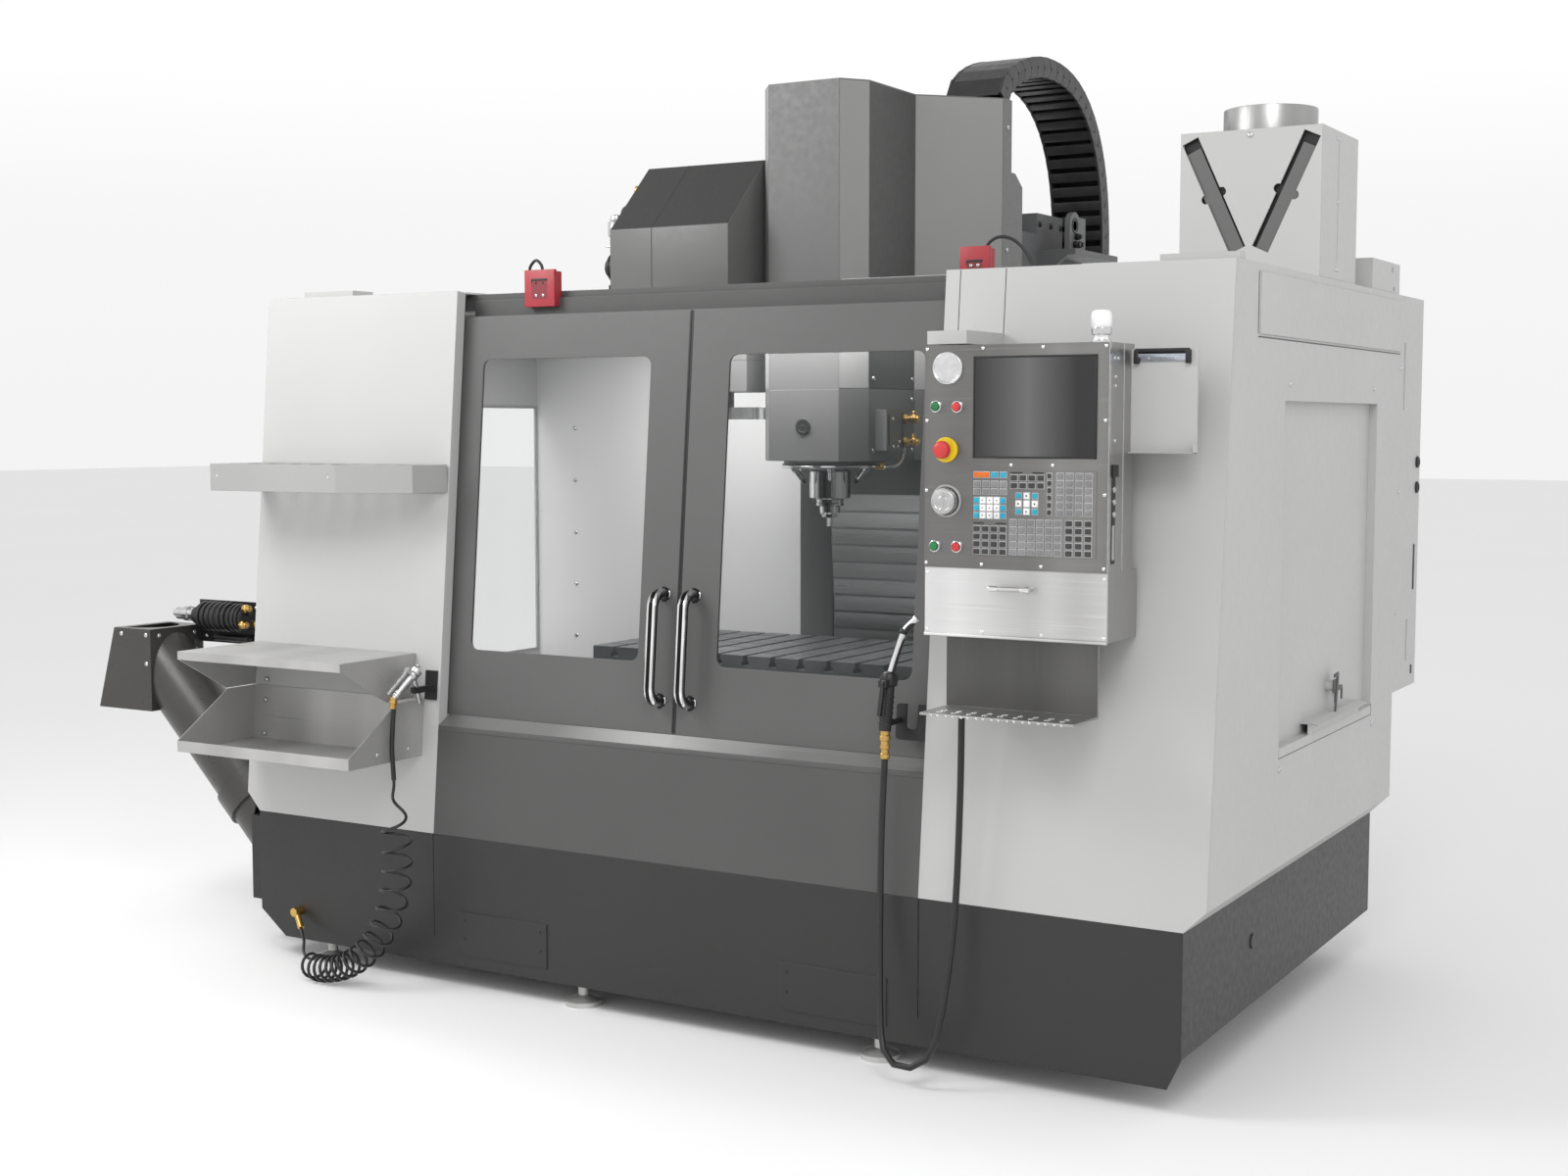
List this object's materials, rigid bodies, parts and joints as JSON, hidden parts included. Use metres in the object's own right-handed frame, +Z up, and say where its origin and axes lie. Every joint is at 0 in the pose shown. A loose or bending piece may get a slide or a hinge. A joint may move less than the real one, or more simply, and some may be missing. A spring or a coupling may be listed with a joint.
{
  "type": "cnc machining center",
  "caption": "Vertical machining center in a leaning sheet-metal enclosure with sliding doors, a T-slot table, a chip auger and a swivelling control.",
  "frame": {"origin": "on the floor under the middle of the machine's box", "axes": "+X to the operator's right, +Y to the back, +Z up"},
  "size_m": [4.0304, 2.731, 2.9818],
  "materials": {
    "foot_steel": "turned",
    "pan_paint": "fine textured",
    "bed_iron": "painted casting",
    "column_iron": "painted casting",
    "panel_white": "semi-gloss powder coat",
    "cabinet_white": "semi-gloss powder coat",
    "liner_white": "semi-gloss",
    "header_grey": "semi-gloss",
    "sill_grey": "semi-gloss",
    "lower_grey": "semi-gloss",
    "door_grey": "semi-gloss",
    "glass": "clear laminated",
    "chrome": "polished",
    "saddle_iron": "painted casting",
    "table_iron": "ground",
    "head_iron": "painted casting",
    "cover_grey": "semi-gloss",
    "spindle_steel": "ground",
    "way_steel": "satin",
    "changer_grey": "semi-gloss",
    "arm_steel": "satin",
    "chain_plastic": "matte",
    "switch_red": "satin",
    "auger_paint": "semi-gloss",
    "screw_steel": "worn",
    "motor_black": "satin",
    "rack_grey": "semi-gloss",
    "stainless": "brushed",
    "bracket_black": "satin",
    "gun_metal": "cast",
    "lever_steel": "polished",
    "hose_black": "satin",
    "gun_black": "satin",
    "brass": "machined",
    "arm_paint": "semi-gloss",
    "case_paint": "semi-gloss",
    "face_steel": "brushed",
    "screen": "gloss",
    "keys": "satin",
    "button_green": "satin",
    "button_red": "satin",
    "stop_red": "satin",
    "jog_black": "satin",
    "beacon_white": "frosted",
    "clip_steel": "satin"
  },
  "bodies": {
    "frame": {"levelling_feet": "foot_steel", "chip_pan": "pan_paint", "machine_bed": "bed_iron", "column": "column_iron", "left_front_panel": "panel_white", "right_front_panel": "panel_white", "left_side_panel": "panel_white", "left_side_window": "glass", "right_side_panel": "panel_white", "rear_cabinet": "cabinet_white", "liner": "liner_white", "door_header": "header_grey", "door_sill": "sill_grey", "lower_front_panel": "lower_grey", "way_cover": "way_steel", "tool_changer": "changer_grey", "exhaust_duct": "panel_white", "cable_chain": "chain_plastic", "door_switches": "switch_red", "auger_tube": "auger_paint", "discharge_hood": "auger_paint", "auger_motor": "motor_black", "tool_rack": "rack_grey", "work_shelf": "stainless", "parts_bin": "stainless", "gun_brackets": "bracket_black", "air_gun": "gun_metal", "air_hose": "hose_black", "wash_gun": "gun_black", "wash_hose": "hose_black", "brass_fittings": "brass", "pendant_arm": "arm_paint"},
    "left_door": {"left_door": "door_grey", "left_window": "glass", "left_handle": "chrome"},
    "right_door": {"right_door": "door_grey", "right_window": "glass", "right_handle": "chrome"},
    "saddle": {"saddle": "saddle_iron"},
    "table": {"table": "table_iron"},
    "spindle_head": {"head_casting": "head_iron", "head_cover": "cover_grey"},
    "spindle": {"spindle": "spindle_steel"},
    "tool_arm": {"tool_arm": "arm_steel"},
    "auger_screw": {"auger_screw": "screw_steel"},
    "air_gun_lever": {"air_gun_lever": "lever_steel"},
    "wash_gun_trigger": {"wash_gun_trigger": "gun_black"},
    "pendant": {"pendant_case": "case_paint", "pendant_face": "face_steel", "pendant_screen": "screen", "keypad": "keys", "beacon": "beacon_white", "clipboard": "clip_steel"},
    "power_on": {"power_on": "button_green"},
    "power_off": {"power_off": "button_red"},
    "emergency_stop": {"emergency_stop": "stop_red"},
    "jog_wheel": {"jog_wheel": "jog_black"},
    "cycle_start": {"cycle_start": "button_green"},
    "feed_hold": {"feed_hold": "button_red"},
    "storage_door": {"storage_door": "face_steel"}
  },
  "joints": [
    {"name": "left_door_slide", "type": "slide", "parent": "frame", "child": "left_door", "axis": [-1, 0, 0], "range_m": [0, 0.64]},
    {"name": "right_door_slide", "type": "slide", "parent": "frame", "child": "right_door", "axis": [1, 0, 0], "range_m": [0, 0.64]},
    {"name": "saddle_slide", "type": "slide", "parent": "frame", "child": "saddle", "axis": [0, 1, 0], "range_m": [-0.45, 0.18]},
    {"name": "table_slide", "type": "slide", "parent": "saddle", "child": "table", "axis": [1, 0, 0], "range_m": [-0.508, 0.508]},
    {"name": "head_slide", "type": "slide", "parent": "frame", "child": "spindle_head", "axis": [0, 0, 1], "range_m": [-0.37, 0.2], "deforming": ["cable_chain", "way_cover"]},
    {"name": "spindle_spin", "type": "hinge", "parent": "spindle_head", "child": "spindle", "pos_m": [0.39375, -0.0545, 1.486], "axis": [0, 0, 1], "continuous": true},
    {"name": "tool_arm_swing", "type": "hinge", "parent": "frame", "child": "tool_arm", "pos_m": [-0.00625, -0.0555, 1.76], "axis": [0, 0, 1], "range_deg": [-90, 90]},
    {"name": "auger_turn", "type": "hinge", "parent": "frame", "child": "auger_screw", "pos_m": [-1.75625, -0.8505, 0.848], "axis": [0.7071, 0, -0.7071], "continuous": true},
    {"name": "air_gun_squeeze", "type": "hinge", "parent": "frame", "child": "air_gun_lever", "pos_m": [-0.45714, -1.14616, 0.98562], "axis": [0.9037, -0.4281, 0], "range_deg": [0, 4], "stiffness_Nm_per_rad": 2},
    {"name": "wash_gun_squeeze", "type": "hinge", "parent": "frame", "child": "wash_gun_trigger", "pos_m": [1.13575, -1.0965, 1.042], "axis": [1, 0, 0], "range_deg": [0, 9], "stiffness_Nm_per_rad": 2},
    {"name": "pendant_swivel", "type": "hinge", "parent": "frame", "child": "pendant", "pos_m": [1.34375, -1.1005, 1.9], "axis": [0, 0, 1], "range_deg": [-75, 0]},
    {"name": "storage_flap", "type": "hinge", "parent": "pendant", "child": "storage_door", "pos_m": [1.55375, -1.2009, 1.195], "axis": [1, 0, 0], "range_deg": [0, 90]},
    {"name": "power_on_push", "type": "slide", "parent": "pendant", "child": "power_on", "axis": [0, 1, 0], "range_m": [0, 0.004], "stiffness_N_per_m": 600},
    {"name": "power_off_push", "type": "slide", "parent": "pendant", "child": "power_off", "axis": [0, 1, 0], "range_m": [0, 0.004], "stiffness_N_per_m": 600},
    {"name": "emergency_stop_push", "type": "slide", "parent": "pendant", "child": "emergency_stop", "axis": [0, 1, 0], "range_m": [0, 0.004], "stiffness_N_per_m": 600},
    {"name": "cycle_start_push", "type": "slide", "parent": "pendant", "child": "cycle_start", "axis": [0, 1, 0], "range_m": [0, 0.004], "stiffness_N_per_m": 600},
    {"name": "feed_hold_push", "type": "slide", "parent": "pendant", "child": "feed_hold", "axis": [0, 1, 0], "range_m": [0, 0.004], "stiffness_N_per_m": 600},
    {"name": "jog_turn", "type": "hinge", "parent": "pendant", "child": "jog_wheel", "pos_m": [1.37075, -1.2105, 1.532], "axis": [0, 1, 0], "continuous": true}
  ]
}
